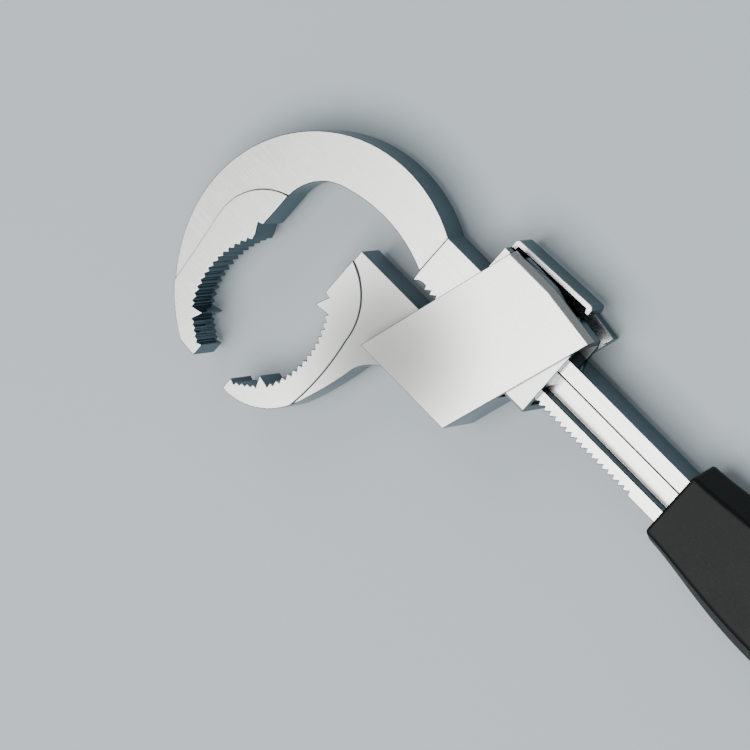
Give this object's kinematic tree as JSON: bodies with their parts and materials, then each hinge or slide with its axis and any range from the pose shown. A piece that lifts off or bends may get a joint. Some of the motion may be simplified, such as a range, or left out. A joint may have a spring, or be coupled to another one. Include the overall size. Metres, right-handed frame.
{
  "type": "adjustable sink wrench",
  "caption": "Large-opening adjustable wrench: a hooked toothed jaw on a racked bar, and a sliding jaw locked by a sprung sleeve that a thumb lever lets go.",
  "frame": {"origin": "centre of the hook's outer circle, in the middle of the tool's thickness", "axes": "+X along the bar from the hook to the grip, +Y from the jaws' open side to the thumb lever, +Z through the thickness"},
  "size_m": [0.28, 0.0884, 0.0216],
  "materials": {
    "nickel_steel": "satin nickel",
    "black_steel": "black oxide",
    "tool_steel": "hardened, machined",
    "spring_steel": "drawn wire",
    "pin_steel": "ground",
    "grip_rubber": "fine matt",
    "core_plastic": "moulded"
  },
  "bodies": {
    "frame": {"upper_jaw_bar": "nickel_steel", "grip_core": "core_plastic", "grip_pin": "pin_steel", "grip": "grip_rubber"},
    "jaw": {"lower_jaw": "nickel_steel", "guide_pin_front": "pin_steel", "guide_pin_rear": "pin_steel", "lever_pin": "pin_steel", "sleeve_spring_front": "spring_steel", "sleeve_spring_rear": "spring_steel"},
    "lock": {"lock_sleeve": "nickel_steel", "lock_teeth": "tool_steel", "lock_teeth_rivet_front": "pin_steel", "lock_teeth_rivet_rear": "pin_steel", "guide_key_front": "tool_steel", "guide_key_back": "tool_steel"},
    "lever": {"thumb_lever": "nickel_steel", "lever_cam": "black_steel", "lever_spring": "spring_steel"}
  },
  "joints": [
    {"name": "jaw_slide", "type": "slide", "parent": "frame", "child": "jaw", "axis": [1, 0, 0], "range_m": [-0.012, 0.036]},
    {"name": "lever_press", "type": "hinge", "parent": "jaw", "child": "lever", "pos_m": [0.0435, 0.0429, 0], "axis": [0, 0, -1], "range_deg": [0, 9.5], "stiffness_Nm_per_rad": 0.05, "springref_deg": -17.19, "deforming": ["lever_spring"]},
    {"name": "sleeve_release", "type": "slide", "parent": "jaw", "child": "lock", "axis": [0, -1, 0], "range_m": [0, 0.0015], "stiffness_N_per_m": 3000, "springref_m": -0.004, "deforming": ["sleeve_spring_front", "sleeve_spring_rear"]}
  ],
  "couplings": [
    {"joint": "lever_press", "follows": "sleeve_release", "rad_per_m": 110.5}
  ]
}
